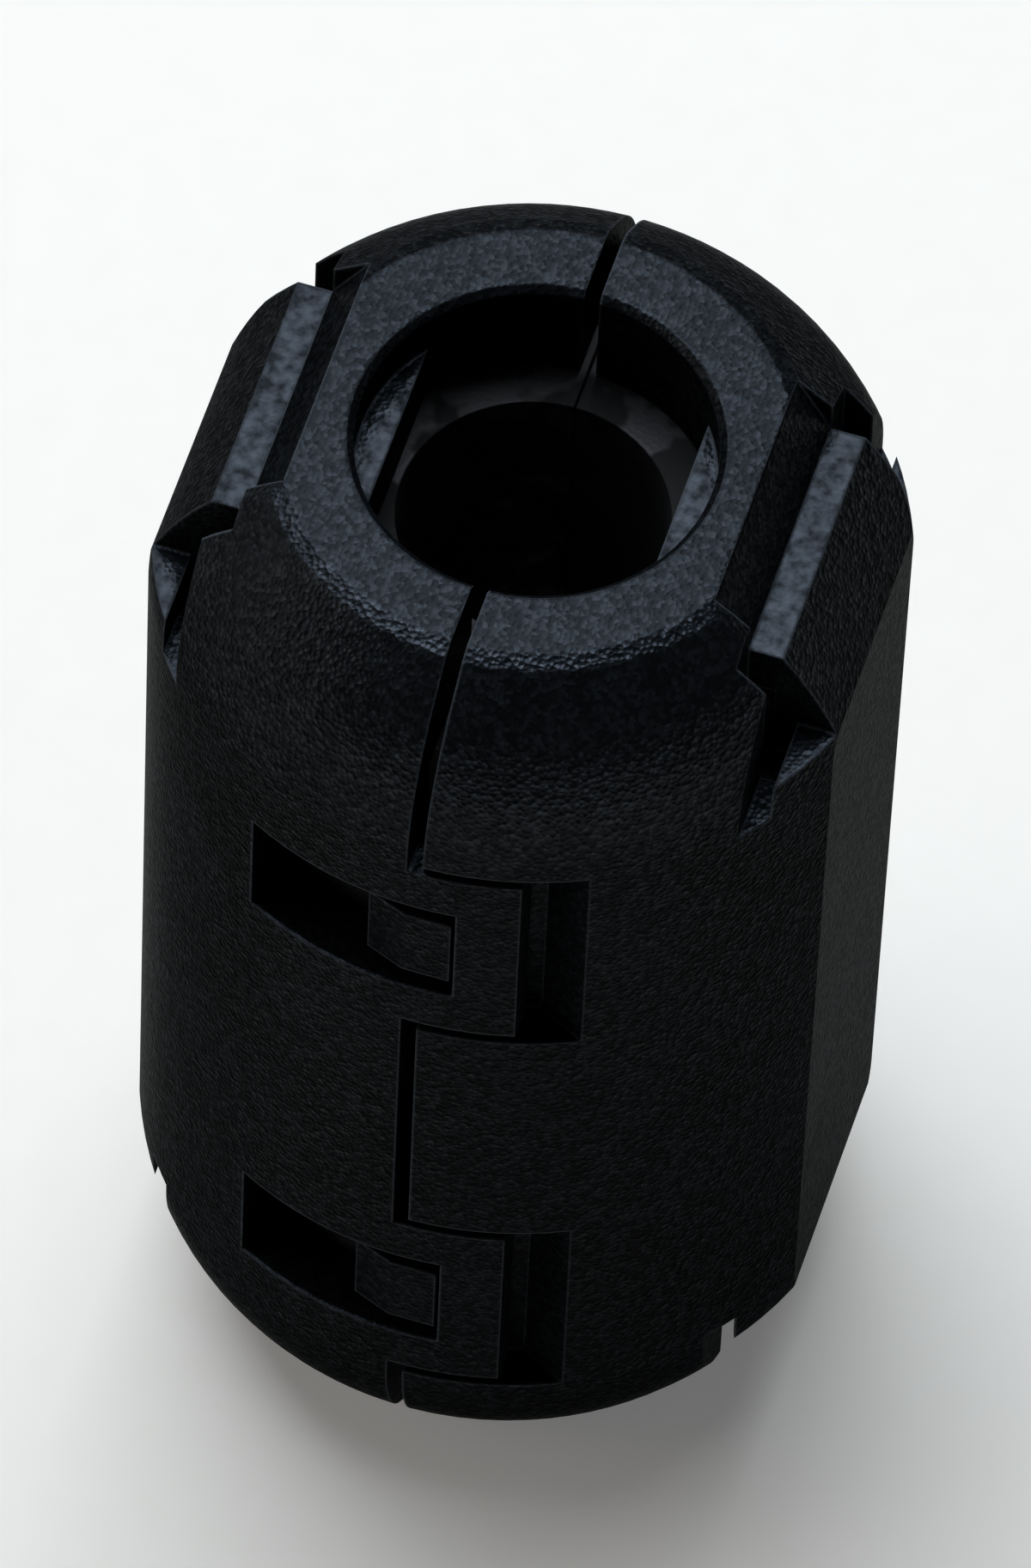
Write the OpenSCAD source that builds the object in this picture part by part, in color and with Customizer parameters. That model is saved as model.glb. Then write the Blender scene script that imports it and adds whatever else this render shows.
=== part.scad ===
// Clip-on ferrite bead: two hinged half shells that snap round a cable, each holding half a core.
// The cable hole runs along Z, the part stands on its lower end ring and the latches face -Y.

/* [Case] */
// Length from end ring to end ring
body_len = 35; // [34:0.5:38]
// Width of each end, from the cable hole out to the barrel
end_w = 5.1; // [4.8:0.1:5.4]
// Thickness of the barrel's wall round the core
wall_t = 1.7; // [1.6:0.05:1.8]
// Depth of the two side flats cut into the barrel
flat_cut = 0.65; // [0.5:0.05:0.75]
// Slope of the round shoulder below the end ring, in degrees
shoulder_slope = 42; // [38:1:46]
// Radius that blends the round shoulder into the barrel
shoulder_round = 6; // [4:0.5:6.5]
// Height of the shoulder above each side flat
flank_h = 4.5; // [4.3:0.1:4.8]
// Radius of the shoulder's curve above each side flat
flank_arc = 10; // [8:0.5:14]
// Width of each end ring round the cable hole
ring_w = 2.1; // [1.9:0.05:2.3]
// Depth of the two side flats cut into each end ring
ring_cut = 1.05; // [0.95:0.05:1.15]
// Width of the bevel cut into each end ring's face along its round outer edge
ring_bevel = 0.25; // [0.15:0.05:0.35]
// Small bevel on the rim of the cable hole
edge_soft = 0.2; // [0.1:0.05:0.3]
// Open gap between the two halves
part_gap = 0.42; // [0.34:0.02:0.6]

/* [Cable hole] */
// Diameter of the hole in the end rings
hole_d = 9.2; // [8.8:0.1:9.4]
// Depth from an end face to the end of the core
collar_depth = 3.4; // [3.2:0.1:3.8]
// How far each cable-grip shelf reaches in from the side of the hole
grip_reach = 0.9; // [0.7:0.05:1]
// Depth from an end face to the top of a shelf
grip_depth = 1.4; // [1:0.1:2]

/* [Core] */
// How far the core's own hole lies inside the cable hole
core_step = 1.1; // [1:0.05:1.3]
// Bevel on the ends of the core
core_bevel = 0.4; // [0.2:0.1:0.6]
// Clearance between the core and its chamber
core_fit = 0.1; // [0.08:0.01:0.12]
// Gap between the two ground faces of the core
core_split = 0.06; // [0.04:0.01:0.1]

/* [Latches] */
// Distance from an end face to the middle of a latch
latch_in = 9.2; // [9:0.1:9.6]
// Height of each latch loop along the case
loop_h = 6.8; // [6.4:0.1:7.2]
// Thickness of each latch loop
loop_t = 0.9; // [0.8:0.05:0.95]
// How far a loop reaches past the parting plane
loop_reach = 2.7; // [2.5:0.05:2.9]
// Width of the bar that closes a loop
bar_w = 1.6; // [1.4:0.05:1.7]
// Height of the window in a loop
window_h = 3.75; // [3.4:0.05:4]
// How far a window reaches back into its own half
window_back = 4.6; // [4.2:0.1:4.8]
// Gap round a loop in its pocket
loop_gap = 0.35; // [0.3:0.05:0.45]
// Gap between a loop and the floor of its pocket
floor_gap = 0.25; // [0.2:0.05:0.3]
// Height of a hook along the case
hook_h = 2.5; // [2.2:0.1:2.8]
// How far a hook reaches past the parting plane
hook_reach = 1.3; // [1:0.05:1.5]
// Gap between a hook's catch face and the bar
catch_gap = 0.12; // [0.1:0.01:0.2]
// How far a hook's crest lies below the barrel's surface
hook_sink = 0.1; // [0.05:0.05:0.3]
// How far the hook's lead-in drops at its tip
lead_drop = 0.4; // [0.3:0.05:0.6]
// Width of the finger scoop beside each pocket
scoop_w = 1.25; // [1:0.05:1.4]

/* [Side notches] */
// Depth from an end face to the ledge of a notch
ledge_depth = 1.8; // [1.6:0.1:2.1]
// Distance from the core's chamber in to the inner edge of a ledge
ledge_in = 1.4; // [1.2:0.05:1.5]
// Distance from the middle of the case to the front end of a side plate
plate_front = 3.2; // [3:0.1:3.4]
// Distance from the middle of the case to the back end of a side plate
plate_back = 3.9; // [3.6:0.1:4]
// Width of the slot at each end of a ledge
slot_w = 1.1; // [0.9:0.05:1.3]
// Depth of a slot from the end face
slot_depth = 5.8; // [5.4:0.1:6.2]
// Depth of the open step beside a side plate
step_depth = 4.4; // [4.2:0.1:4.8]
// Width of the slit between a step and the shoulder
slit_w = 0.6; // [0.5:0.05:0.8]
// Depth of a slit from the end face
slit_depth = 5.6; // [5.3:0.1:6]

/* [Film hinge] */
// How far the lips that carry the film stand out from the barrel
lip_out = 0.1; // [0.05:0.05:0.2]
// Thickness of the film and of the lips that carry it
film_t = 0.3; // [0.25:0.05:0.4]
// Length of each film strap along the case
film_len = 7.5; // [6:0.5:9]

/* [Hidden] */
$fn = 96;
hole_r = hole_d / 2;
body_r = hole_r + end_w;
flat_x = body_r - flat_cut;
ring_r = hole_r + ring_w;
ring_x = ring_r - ring_cut;
shoulder_h = (body_r - ring_r) * tan(shoulder_slope);
grip_x = hole_r - grip_reach;
chamber_r = body_r - wall_t;
core_r = chamber_r - core_fit;
core_hole_r = hole_r - core_step;
core_len = body_len - 2 * collar_depth;
latch_z = body_len / 2 - latch_in;
ledge_x = chamber_r - ledge_in;
loop_in_r = body_r - loop_t;
pocket_r = loop_in_r - floor_gap;
pocket_x = loop_reach + loop_gap;
pocket_h = loop_h + 2 * loop_gap;
window_x = loop_reach - bar_w;
hook_x = window_x - catch_gap;
hook_top = body_r - hook_sink;
hook_root = (pocket_r + chamber_r) / 2;
scoop_x = pocket_x + scoop_w;
film_y = body_r + lip_out;
half_gap = part_gap / 2;
far = 2 * body_len;
hair = 0.00002;
case_black = [0.16, 0.16, 0.17];
core_grey = [0.34, 0.33, 0.33];

// Runs children at both ends, with Z pointing into the case from the end face
module both_ends() {
    for (e = [0, 1])
        translate([0, 0, e * body_len]) mirror([0, 0, e]) children();
}

// Runs children at the height of both latches
module both_latches() {
    for (e = [-1, 1])
        translate([0, 0, body_len / 2 + e * latch_z]) children();
}

// A block between two X values and two Y values, centred on Z
module block(x0, x1, y0, y1, h) {
    translate([x0, y0, -h / 2]) cube([x1 - x0, y1 - y0, h]);
}

// Runs children at both ends of an outline, with its second axis pointing into the case
module outline_ends() {
    for (e = [0, 1])
        translate([0, e * body_len]) mirror([0, e]) children();
}

// What the round shoulder takes off the corner of the barrel's outline: a bevel off the end ring's face,
// a straight slope, and an arc that runs into the barrel's side. The slope ends a hair inside the arc.
module shoulder_cut() {
    bevel_slope = tan(shoulder_slope / 2);
    foot = shoulder_h + shoulder_round * tan((90 - shoulder_slope) / 2);
    centre = [body_r - shoulder_round, foot];
    difference() {
        polygon([[ring_r, 0], centre + (shoulder_round - hair) * [sin(shoulder_slope), -cos(shoulder_slope)],
                 [body_r, foot], [far, foot], [far, -1], [ring_r, -1]]);
        translate(centre) circle(r = shoulder_round);
    }
    translate([ring_r - ring_bevel, 0]) polygon([[0, 0], [far, far * bevel_slope], [far, -1], [0, -1]]);
}

// What the shoulder above a side flat takes off: all outside an arc from the end ring down to the flat
module flank_cut() {
    flank_w = flat_x - ring_x;
    chord = norm([flank_w, flank_h]);
    back = sqrt(pow(flank_arc, 2) - pow(chord / 2, 2)) / chord;
    centre = [(ring_x + flat_x) / 2 - flank_h * back, flank_h / 2 + flank_w * back];
    difference() {
        polygon([[centre[0], -1], centre, [far, centre[1]], [far, -1]]);
        translate(centre) circle(r = flank_arc);
    }
}

// The closed case from outside: a barrel with rounded shoulders, cut by the side flats
module barrel() {
    intersection() {
        rotate_extrude()
            difference() {
                square([body_r, body_len]);
                outline_ends() shoulder_cut();
            }
        rotate([90, 0, 0])
            linear_extrude(height = far, center = true)
                difference() {
                    translate([-flat_x, -1]) square([2 * flat_x, body_len + 2]);
                    for (side = [0, 1])
                        mirror([side, 0])
                            outline_ends() flank_cut();
                }
    }
}

// The space inside the closed case: the cable hole and the core's chamber
module inside() {
    translate([0, 0, -1]) cylinder(r = hole_r, h = body_len + 2);
    translate([0, 0, collar_depth - core_fit])
        cylinder(r = chamber_r, h = core_len + 2 * core_fit);
    both_ends()
        translate([0, 0, -0.01])
            cylinder(r1 = hole_r + edge_soft, r2 = hole_r, h = edge_soft);
}

// The stepped notch in one shoulder on the +X side, with the slots and steps that free the side plate
module side_notch() {
    translate([0, plate_back, 0])
        rotate([90, 0, 0])
            linear_extrude(height = plate_front + plate_back)
                polygon([[ring_x, -1], [ring_x, edge_soft], [ledge_x, ledge_depth],
                         [far, ledge_depth], [far, -1]]);
    plate_side(plate_back);
    mirror([0, 1, 0]) plate_side(plate_front);
}

// What is cut away beside one end of a side plate, here its +Y end
module plate_side(plate_end) {
    translate([ledge_x, plate_end - 0.01, -1])
        cube([chamber_r - ledge_x, slot_w + 0.01, slot_depth + 1]);
    translate([chamber_r - slit_w, plate_end, -1])
        cube([slit_w, body_r, slit_depth + 1]);
    translate([chamber_r - 0.01, plate_end, -1])
        cube([body_r, body_r, step_depth + 1]);
}

// The straight-edged shelf that grips the cable, inside one end ring on the +X side
module grip_shelf() {
    shelf_h = collar_depth - core_fit - grip_depth;
    translate([0, 0, grip_depth])
        intersection() {
            cylinder(r = hole_r + edge_soft, h = shelf_h);
            translate([grip_x, -hole_r, 0]) cube([hole_r, hole_d, shelf_h]);
        }
}

// The lips on the +X side that the film straps grow from
module hinge_lips() {
    both_latches() block(half_gap, half_gap + film_t, body_r - 1, film_y, film_len);
}

// What the two halves share, built on the +X side
module half_case() {
    difference() {
        intersection() {
            barrel();
            translate([half_gap, -far / 2, -1]) cube([far, far, body_len + 2]);
        }
        inside();
        both_ends() side_notch();
    }
    both_ends() grip_shelf();
    hinge_lips();
}

// A latch loop before its window is cut
module loop_tab() {
    intersection() {
        difference() {
            translate([0, 0, -loop_h / 2]) cylinder(r = body_r, h = loop_h);
            cylinder(r = loop_in_r, h = far, center = true);
        }
        block(-half_gap - 0.5, loop_reach, -far, 0, loop_h);
    }
}

// The pocket that a loop drops into, with the finger scoop at its far side
module loop_pocket() {
    intersection() {
        difference() {
            cylinder(r = far, h = pocket_h, center = true);
            cylinder(r = pocket_r, h = far, center = true);
        }
        block(0, pocket_x, -far, 0, pocket_h);
    }
    linear_extrude(height = pocket_h, center = true)
        polygon([[pocket_x - 0.05, -sqrt(pow(pocket_r, 2) - pow(pocket_x - 0.05, 2))],
                 [scoop_x, -sqrt(pow(body_r, 2) - pow(scoop_x, 2))],
                 [scoop_x, -far], [pocket_x - 0.05, -far]]);
}

// The hook that rises through a loop's window, with its lead-in towards the other half
module hook() {
    linear_extrude(height = hook_h, center = true)
        polygon([[hook_x, -hook_root], [hook_x, -hook_top], [-hook_reach * 0.2, -hook_top],
                 [-hook_reach, -hook_top + lead_drop], [-hook_reach, -hook_root]]);
}

// Half of the split core, on the +X side
module half_core() {
    difference() {
        translate([0, 0, collar_depth])
            rotate_extrude()
                polygon([[core_hole_r, 0], [core_r - core_bevel, 0], [core_r, core_bevel],
                         [core_r, core_len - core_bevel], [core_r - core_bevel, core_len],
                         [core_hole_r, core_len]]);
        translate([core_split / 2 - far, -far / 2, -1]) cube([far, far, body_len + 2]);
    }
}

// Half shell with the two loops, windows open into it
module left_shell() {
    color(case_black)
        difference() {
            union() {
                mirror([1, 0, 0]) half_case();
                both_latches() loop_tab();
            }
            both_latches() block(-window_back, window_x, -far, 0, window_h);
        }
}

// Half shell with the two pockets and their hooks
module right_shell() {
    color(case_black) {
        difference() {
            half_case();
            both_latches() loop_pocket();
        }
        both_latches() hook();
    }
}

// The two thin straps that join the shells at the back, folded shut
module film_hinge() {
    color(case_black)
        both_latches()
            translate([0, film_y, 0])
                intersection() {
                    difference() {
                        cylinder(r = half_gap + film_t, h = film_len, center = true);
                        cylinder(r = half_gap, h = far, center = true);
                    }
                    block(-1, 1, 0, 1, film_len);
                }
}

module left_core() {
    color(core_grey) mirror([1, 0, 0]) half_core();
}

module right_core() {
    color(core_grey) half_core();
}

left_shell();
right_shell();
film_hinge();
left_core();
right_core();
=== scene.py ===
# The looks of the clip-on ferrite bead: its finishes, its bending film straps, the light and the camera.
import math

import bmesh
import bpy
from mathutils import Matrix, Vector


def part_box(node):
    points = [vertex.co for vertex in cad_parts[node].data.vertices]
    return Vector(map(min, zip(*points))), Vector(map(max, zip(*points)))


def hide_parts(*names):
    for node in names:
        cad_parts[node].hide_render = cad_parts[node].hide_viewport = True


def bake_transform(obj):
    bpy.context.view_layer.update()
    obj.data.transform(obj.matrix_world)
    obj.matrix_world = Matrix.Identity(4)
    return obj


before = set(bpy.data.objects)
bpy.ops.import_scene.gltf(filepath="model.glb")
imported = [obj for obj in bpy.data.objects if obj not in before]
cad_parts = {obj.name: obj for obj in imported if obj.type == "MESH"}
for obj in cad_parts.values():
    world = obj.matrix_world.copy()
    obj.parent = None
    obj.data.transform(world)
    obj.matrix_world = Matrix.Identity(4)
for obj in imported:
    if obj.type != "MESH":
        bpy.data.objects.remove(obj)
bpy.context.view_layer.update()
scene = bpy.context.scene
MM = 0.001
# From an end ring's face to the middle of the bead, in mm
HALF_LENGTH = 17.5


def to_linear(code):
    """An sRGB hex colour as linear RGBA."""
    parts = [int(code[i:i + 2], 16) / 255 for i in (1, 3, 5)]
    return [p / 12.92 if p <= 0.04045 else ((p + 0.055) / 1.055) ** 2.4 for p in parts] + [1.0]


def add(tree, kind, sockets=None, **settings):
    """Adds one node to a tree: settings are its own properties, sockets its input values or links."""
    node = tree.nodes.new("ShaderNode" + kind)
    for name, value in settings.items():
        setattr(node, name, value)
    for name, value in (sockets or {}).items():
        if isinstance(value, bpy.types.NodeSocket):
            tree.links.new(value, node.inputs[name])
        else:
            node.inputs[name].default_value = value
    return node


def new_material(name):
    """An empty material, its tree and the place on the surface in mm."""
    material = bpy.data.materials.new(name)
    material.use_nodes = True
    tree = material.node_tree
    tree.nodes.clear()
    place = add(tree, "TexCoord").outputs["Object"]
    in_mm = add(tree, "VectorMath", {0: place, "Scale": 1 / MM}, operation="SCALE").outputs["Vector"]
    return material, tree, in_mm


def moulded_nylon(name, grain, edge):
    """Black nylon injection-moulded in a spark-eroded mould.

    To the eye it is a deep black with a dull satin sheen, which breaks into fine sparkle on faces
    turned to the light. Ledges, sills and shelves come off smooth inserts and shine more, and edges
    are softly rounded, so that they catch a thin line of light; along them a lighter grey is painted
    into the colour as a highlight.
    Spark pits are about 0.05 mm wide; grain gives them in mm, coarser, so that they show in the render.
    edge is the radius of the rounded edges in mm.
    """
    # the lighter grey serves the random mottle and also the highlight painted along the edges
    deep, mottle_and_glint_grey, sheen_tint = to_linear("#060708"), to_linear("#50565c"), to_linear("#d3e2f4")
    flow_mm, patch_mm, pit_depth = 6.0, 0.4, 0.05 * MM
    material, tree, in_mm = new_material(name)
    pits = add(tree, "TexVoronoi", {"Vector": in_mm, "Scale": 1 / grain, "Randomness": 1.0})
    chance = add(tree, "SeparateColor", {"Color": pits.outputs["Color"]}).outputs["Red"]
    flow = add(tree, "TexNoise", {"Vector": in_mm, "Scale": 1 / flow_mm, "Detail": 2.0, "Distortion": 0.6})
    # edges: how far a rounded normal turns from the flat one
    rounded = add(tree, "Bevel", {"Radius": edge * MM}, samples=6).outputs["Normal"]
    flat = add(tree, "NewGeometry").outputs["Normal"]
    turn = add(tree, "VectorMath", {0: rounded, 1: flat}, operation="DOT_PRODUCT").outputs["Value"]
    # painted highlight: a lighter grey colour along every edge stands in for the glint of light there
    painted_edge_glint = add(tree, "MapRange", {"Value": turn, "From Min": 0.96, "From Max": 0.72}).outputs["Result"]
    # smooth faces: those that lie level below the end rings
    level = add(tree, "SeparateXYZ", {"Vector": flat}).outputs["Z"]
    level = add(tree, "Math", {0: level}, operation="ABSOLUTE").outputs["Value"]
    level = add(tree, "MapRange", {"Value": level, "From Min": 0.85, "From Max": 0.95}).outputs["Result"]
    height = add(tree, "SeparateXYZ", {"Vector": in_mm}).outputs["Z"]
    height = add(tree, "Math", {0: height, 1: HALF_LENGTH}, operation="SUBTRACT").outputs["Value"]
    height = add(tree, "Math", {0: height}, operation="ABSOLUTE").outputs["Value"]
    below = add(tree, "MapRange", {"Value": height, "From Min": HALF_LENGTH - 0.5, "From Max": HALF_LENGTH - 0.8})
    smooth = add(tree, "Math", {0: level, 1: below.outputs["Result"]}, operation="MULTIPLY").outputs["Value"]
    # colour: black, mottled by the pits and by the flow of the melt, with a painted highlight: lighter grey along the
    # rounded edges
    speck = add(tree, "MapRange", {"Value": chance, "From Min": 0.35, "From Max": 1.0}).outputs["Result"]
    cloud = add(tree, "MapRange", {
        "Value": flow.outputs["Fac"], "From Min": 0.3, "From Max": 0.7, "To Max": 0.03}).outputs["Result"]
    mottle = add(tree, "Math", {0: speck, 1: 0.06, 2: cloud}, operation="MULTIPLY_ADD").outputs["Value"]
    grey = add(tree, "Math", {0: mottle, 1: painted_edge_glint}, operation="MAXIMUM").outputs["Value"]
    colour = add(tree, "Mix", {"Factor": grey, 6: deep, 7: mottle_and_glint_grey}, data_type="RGBA")
    # sheen: seen at a low angle the pits shade each other, so it fades there
    slant = add(tree, "LayerWeight", {"Blend": 0.5, "Normal": rounded}).outputs["Facing"]
    facing = add(tree, "Math", {0: 1.0, 1: slant}, operation="SUBTRACT").outputs["Value"]
    fade = add(tree, "Math", {0: facing, 1: 6.0}, operation="POWER").outputs["Value"]
    fade = add(tree, "Math", {0: fade, 1: 0.001}, operation="ADD").outputs["Value"]
    gloss = add(tree, "MapRange", {"Value": speck, "To Min": 0.3, "To Max": 0.66}).outputs["Result"]
    patch = add(tree, "TexNoise", {"Vector": in_mm, "Scale": 1 / patch_mm, "Detail": 3.0}).outputs["Fac"]
    patch = add(tree, "MapRange", {
        "Value": patch, "From Min": 0.35, "From Max": 0.65, "To Min": 0.2, "To Max": 1.0}).outputs["Result"]
    gloss = add(tree, "Mix", {"Factor": smooth, "A": gloss, "B": patch}).outputs["Result"]
    shine = add(tree, "Math", {0: gloss, 1: fade}, operation="MULTIPLY").outputs["Value"]
    rough = add(tree, "MapRange", {"Value": smooth, "To Min": 0.3, "To Max": 0.22}).outputs["Result"]
    relief = add(tree, "MapRange", {"Value": smooth, "To Min": 0.55, "To Max": 0.2}).outputs["Result"]
    bump = add(tree, "Bump", {
        "Strength": relief, "Distance": pit_depth, "Height": pits.outputs["Distance"], "Normal": rounded})
    shader = add(tree, "BsdfPrincipled", {
        "Base Color": colour.outputs[2], "Roughness": rough, "Normal": bump.outputs["Normal"],
        "IOR": 1.53, "Specular IOR Level": shine, "Specular Tint": sheen_tint})
    add(tree, "OutputMaterial", {"Surface": shader.outputs["BSDF"]})
    return material


def sintered_ferrite(name):
    """Nickel-zinc ferrite, pressed, sintered and ground.

    To the eye it is a dense, nearly black ceramic, with dark grey, faintly shining patches about 2 mm wide
    where the grinding wheel has taken off the fired skin.
    Its grain is about 0.02 mm; it is drawn at 0.15 mm so that it shows.
    """
    skin, bare = to_linear("#060607"), to_linear("#29292b")
    grain_mm, patch_mm, grain_depth, edge = 0.15, 2.0, 0.015 * MM, 0.1 * MM
    material, tree, in_mm = new_material(name)
    grains = add(tree, "TexVoronoi", {"Vector": in_mm, "Scale": 1 / grain_mm, "Randomness": 1.0})
    ground = add(tree, "TexNoise", {"Vector": in_mm, "Scale": 1 / patch_mm, "Detail": 3.0}).outputs["Fac"]
    ground = add(tree, "MapRange", {"Value": ground, "From Min": 0.51, "From Max": 0.57}).outputs["Result"]
    colour = add(tree, "Mix", {"Factor": ground, 6: skin, 7: bare}, data_type="RGBA")
    rough = add(tree, "MapRange", {"Value": ground, "To Min": 0.8, "To Max": 0.45}).outputs["Result"]
    rounded = add(tree, "Bevel", {"Radius": edge}, samples=4).outputs["Normal"]
    bump = add(tree, "Bump", {
        "Strength": 0.35, "Distance": grain_depth, "Height": grains.outputs["Distance"], "Normal": rounded})
    shader = add(tree, "BsdfPrincipled", {
        "Base Color": colour.outputs[2], "Roughness": rough, "Normal": bump.outputs["Normal"],
        "IOR": 2.3, "Specular IOR Level": 0.1})
    add(tree, "OutputMaterial", {"Surface": shader.outputs["BSDF"]})
    return material


def pale_card(name):
    """Matt white card for the floor, with a faint fibre about 1 mm wide.

    It keeps the bead's soft shadow, and a little lift in what the camera and reflections see of it
    makes it show near white.
    """
    fibre_mm, lift = 1 / 0.9, 0.14
    material, tree, in_mm = new_material(name)
    fibre = add(tree, "TexNoise", {"Vector": in_mm, "Scale": 1 / fibre_mm, "Detail": 2.0}).outputs["Fac"]
    tone = add(tree, "Mix", {"Factor": fibre, 6: to_linear("#f8f3e8"), 7: to_linear("#fdf8ee")}, data_type="RGBA")
    ray = add(tree, "LightPath").outputs
    seen = add(tree, "Math", {0: ray["Is Camera Ray"], 1: ray["Is Glossy Ray"]}, operation="MAXIMUM").outputs["Value"]
    seen = add(tree, "Math", {0: seen, 1: ray["Is Transmission Ray"]}, operation="MAXIMUM").outputs["Value"]
    glow = add(tree, "Math", {0: seen, 1: lift}, operation="MULTIPLY").outputs["Value"]
    shader = add(tree, "BsdfPrincipled", {
        "Base Color": tone.outputs[2], "Roughness": 0.9, "Specular IOR Level": 0.1,
        "Emission Color": to_linear("#ffffff"), "Emission Strength": glow})
    add(tree, "OutputMaterial", {"Surface": shader.outputs["BSDF"]})
    return material


case_nylon = moulded_nylon("moulded_black_nylon", grain=0.14, edge=0.15)
film_nylon = moulded_nylon("thin_moulded_nylon_film", grain=0.1, edge=0.06)
ferrite = sintered_ferrite("sintered_ferrite")

finishes = {"left_shell": case_nylon, "right_shell": case_nylon, "left_core": ferrite, "right_core": ferrite}
for node, finish in finishes.items():
    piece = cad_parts[node]
    piece.data.materials.clear()
    piece.data.materials.append(finish)


def strap_section(outer, inner, bottom, top, corner):
    """A strap's cut face with rounded corners, as points of distance from the fold line and height."""
    points = []
    middles = ((outer - corner, top - corner), (inner + corner, top - corner),
               (inner + corner, bottom + corner), (outer - corner, bottom + corner))
    for quarter, (r, z) in enumerate(middles):
        for degrees in (0, 30, 60, 90):
            a = math.radians(90 * quarter + degrees)
            points.append((r + corner * math.cos(a), z + corner * math.sin(a)))
    return points


def film_straps():
    """The two film straps, folded round the hinge line, thinnest along the fold so that they bend there."""
    low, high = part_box("film_hinge")
    outer, middle = high.x, low.y
    thick, length, corner = 0.3 * MM, 7.5 * MM, 0.07 * MM
    # the share of the thickness that is gone at the fold, taken from inside
    thinning = 0.33
    steps = 28
    mesh = bmesh.new()
    for bottom in (low.z, high.z - length):
        loops = []
        for i in range(steps + 1):
            angle = math.pi * (1 - i / steps)
            inner = outer - thick * (1 - thinning * math.sin(angle) ** 6)
            section = strap_section(outer, inner, bottom, bottom + length, corner)
            loops.append([mesh.verts.new((r * math.cos(angle), middle + r * math.sin(angle), z)) for r, z in section])
        for a, b in zip(loops, loops[1:]):
            for k in range(len(a)):
                n = (k + 1) % len(a)
                mesh.faces.new((a[k], b[k], b[n], a[n]))
        mesh.faces.new(loops[0])
        mesh.faces.new(list(reversed(loops[-1])))
    bmesh.ops.recalc_face_normals(mesh, faces=mesh.faces)
    data = bpy.data.meshes.new("film_straps")
    mesh.to_mesh(data)
    mesh.free()
    data.shade_smooth()
    straps = bpy.data.objects.new("film_straps", data)
    scene.collection.objects.link(straps)
    data.materials.append(film_nylon)
    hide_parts("film_hinge")
    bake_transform(straps)


film_straps()


def floor():
    """A sheet of white card under the bead."""
    data = bpy.data.meshes.new("white_card")
    half = 0.9
    data.from_pydata([(-half, -half, 0), (half, -half, 0), (half, half, 0), (-half, half, 0)], [], [(0, 1, 2, 3)])
    card = bpy.data.objects.new("white_card", data)
    scene.collection.objects.link(card)
    data.materials.append(pale_card("matt_white_card"))


floor()


def softbox(name, direction, distance, width, height, radiance, colour):
    """A soft lamp facing the middle of the bead. Its power follows from how bright its face is."""
    lamp = bpy.data.lights.new(name, "AREA")
    lamp.shape = "RECTANGLE"
    lamp.size, lamp.size_y = width, height
    lamp.energy = radiance * math.pi * width * height
    lamp.color = to_linear(colour)[:3]
    place = bpy.data.objects.new(name, lamp)
    scene.collection.objects.link(place)
    towards = Vector(direction).normalized()
    place.location = Vector((0, 0, HALF_LENGTH * MM)) + towards * distance
    place.rotation_euler = towards.to_track_quat("Z", "Y").to_euler()


softbox("window_light", (-0.28, 0.42, 0.86), distance=0.75, width=0.75, height=0.75, radiance=4.4, colour="#e9f2fd")
softbox("left_fill", (-0.9, -0.25, 0.35), distance=0.8, width=0.5, height=0.4, radiance=1.4, colour="#fff3e6")

world = bpy.data.worlds.new("dim_room")
scene.world = world
world.use_nodes = True
room = world.node_tree.nodes["Background"].inputs
room["Color"].default_value = to_linear("#303032")
room["Strength"].default_value = 1.0


def photo_camera():
    """The camera at the photograph's place: in front, a little to the right and well above, slightly rolled."""
    azimuth, elevation, roll = (math.radians(a) for a in (15.16, 56.76, 2.82))
    distance, focal_px = 460.5 * MM, 20704.5
    width_px, height_px = 1200, 1825
    # the point that the fit turned round, and where it shows in the frame
    target = Vector((0, 0, 17.09 * MM))
    target_px = (602.8, 967.5)
    sensor_mm = 36.0
    level = math.cos(elevation)
    back = Vector((math.sin(azimuth) * level, -math.cos(azimuth) * level, math.sin(elevation)))
    right = Vector((math.cos(azimuth), math.sin(azimuth), 0))
    up = back.cross(right)
    right, up = right * math.cos(roll) + up * math.sin(roll), up * math.cos(roll) - right * math.sin(roll)
    eye = target + back * distance
    per_px = distance / focal_px
    aim = target - right * (target_px[0] - width_px / 2) * per_px + up * (target_px[1] - height_px / 2) * per_px
    back = (eye - aim).normalized()
    right = up.cross(back).normalized()
    up = back.cross(right)
    lens = bpy.data.cameras.new("photo_camera")
    lens.sensor_fit, lens.sensor_width, lens.sensor_height = "AUTO", sensor_mm, sensor_mm
    lens.lens = sensor_mm * focal_px / height_px
    lens.clip_start, lens.clip_end = 0.02, 20.0
    camera = bpy.data.objects.new("photo_camera", lens)
    scene.collection.objects.link(camera)
    camera.matrix_world = Matrix.Translation(eye) @ Matrix((right, up, back)).transposed().to_4x4()
    scene.camera = camera


photo_camera()
scene.view_settings.view_transform = "Standard"
